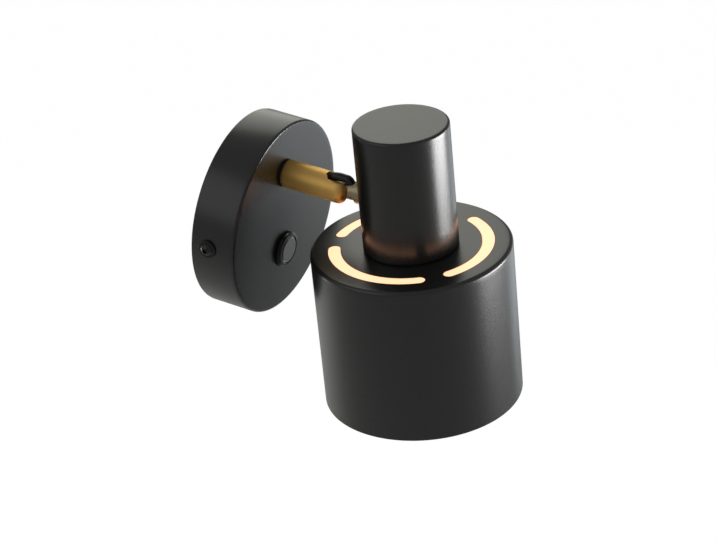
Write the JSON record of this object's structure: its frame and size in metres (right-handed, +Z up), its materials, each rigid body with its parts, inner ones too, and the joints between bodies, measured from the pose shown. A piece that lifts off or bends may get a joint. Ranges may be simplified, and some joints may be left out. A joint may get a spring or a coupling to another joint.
{
  "type": "wall spotlight",
  "caption": "Wall spotlight with a round canopy, push switch and a short forked brass arm, on which a cup-shaped head with a wide slotted shade tilts up and down",
  "frame": {"origin": "middle of the two wall screw holes, on the wall plane behind the canopy's centre", "axes": "+Y points into the wall and the room lies towards -Y, +X runs along the wall, +Z is up"},
  "size_m": [0.1056, 0.155, 0.1543],
  "materials": {
    "black_paint": "satin black paint",
    "satin_brass": "satin lacquered brass",
    "pale_brass": "pale machined brass",
    "bare_brass": "bare turned brass",
    "zinc_steel": "zinc-plated steel",
    "dark_steel": "dark plated steel",
    "nickel_cap": "nickel-plated lamp cap",
    "black_rubber": "black rubber",
    "black_plastic": "black plastic",
    "gloss_black": "glossy black plastic",
    "gloss_grey": "glossy dark grey plastic",
    "block_plastic": "cream plastic",
    "black_sleeve": "black cable sheath",
    "brown_sleeve": "brown insulation",
    "blue_sleeve": "blue insulation",
    "green_sleeve": "green and yellow insulation",
    "opal_plastic": "warm opal plastic, lit from within",
    "opal_globe": "opal glass, lit from within",
    "dark_ceramic": "dark insulator"
  },
  "bodies": {
    "root": {"wall_bracket": "zinc_steel", "cable_grommet": "black_rubber", "earth_screw": "bare_brass", "terminal_block": "block_plastic", "terminal_screws": "zinc_steel", "canopy": "black_paint", "canopy_washers": "black_rubber", "canopy_screws": "dark_steel", "arm_spacer": "black_plastic", "arm": "satin_brass", "arm_lock_washer": "zinc_steel", "arm_nut": "bare_brass", "pivot_screw": "dark_steel", "switch_housing": "gloss_black", "switch_nut": "black_plastic", "switch_contacts": "bare_brass", "switch_spring": "zinc_steel", "neutral_wire": "blue_sleeve", "live_wire": "brown_sleeve", "switch_wire": "brown_sleeve", "earth_wire": "green_sleeve", "arm_lead": "black_sleeve", "knuckle_lead": "black_sleeve"},
    "button": {"switch_button": "gloss_grey"},
    "head": {"knuckle": "pale_brass", "saddle_washer": "zinc_steel", "stem_nut": "bare_brass", "head_lead": "black_sleeve", "neck": "black_paint", "angle_bracket": "zinc_steel", "holder_nipple": "bare_brass", "nipple_nut": "bare_brass", "lampholder_cap": "black_plastic", "lampholder_tails": "blue_sleeve", "lampholder_terminals": "bare_brass", "lampholder_body": "black_plastic", "screw_shell": "bare_brass", "centre_contact": "bare_brass", "shade": "black_paint", "slot_diffuser": "opal_plastic", "shade_ring": "black_plastic", "lamp_cap": "nickel_cap", "lamp_insulator": "dark_ceramic", "lamp_contact": "nickel_cap", "lamp_globe": "opal_globe"}
  },
  "joints": [
    {"name": "head_tilt", "type": "hinge", "parent": "root", "child": "head", "pos_m": [0, -0.0532, 0.0253], "axis": [-1, 0, 0], "range_deg": [-20, 60], "deforming": ["knuckle_lead"]},
    {"name": "switch_press", "type": "slide", "parent": "root", "child": "button", "axis": [0, 1, 0], "range_m": [0, 0.002], "stiffness_N_per_m": 400, "springref_m": -0.001, "deforming": ["switch_spring"]}
  ]
}
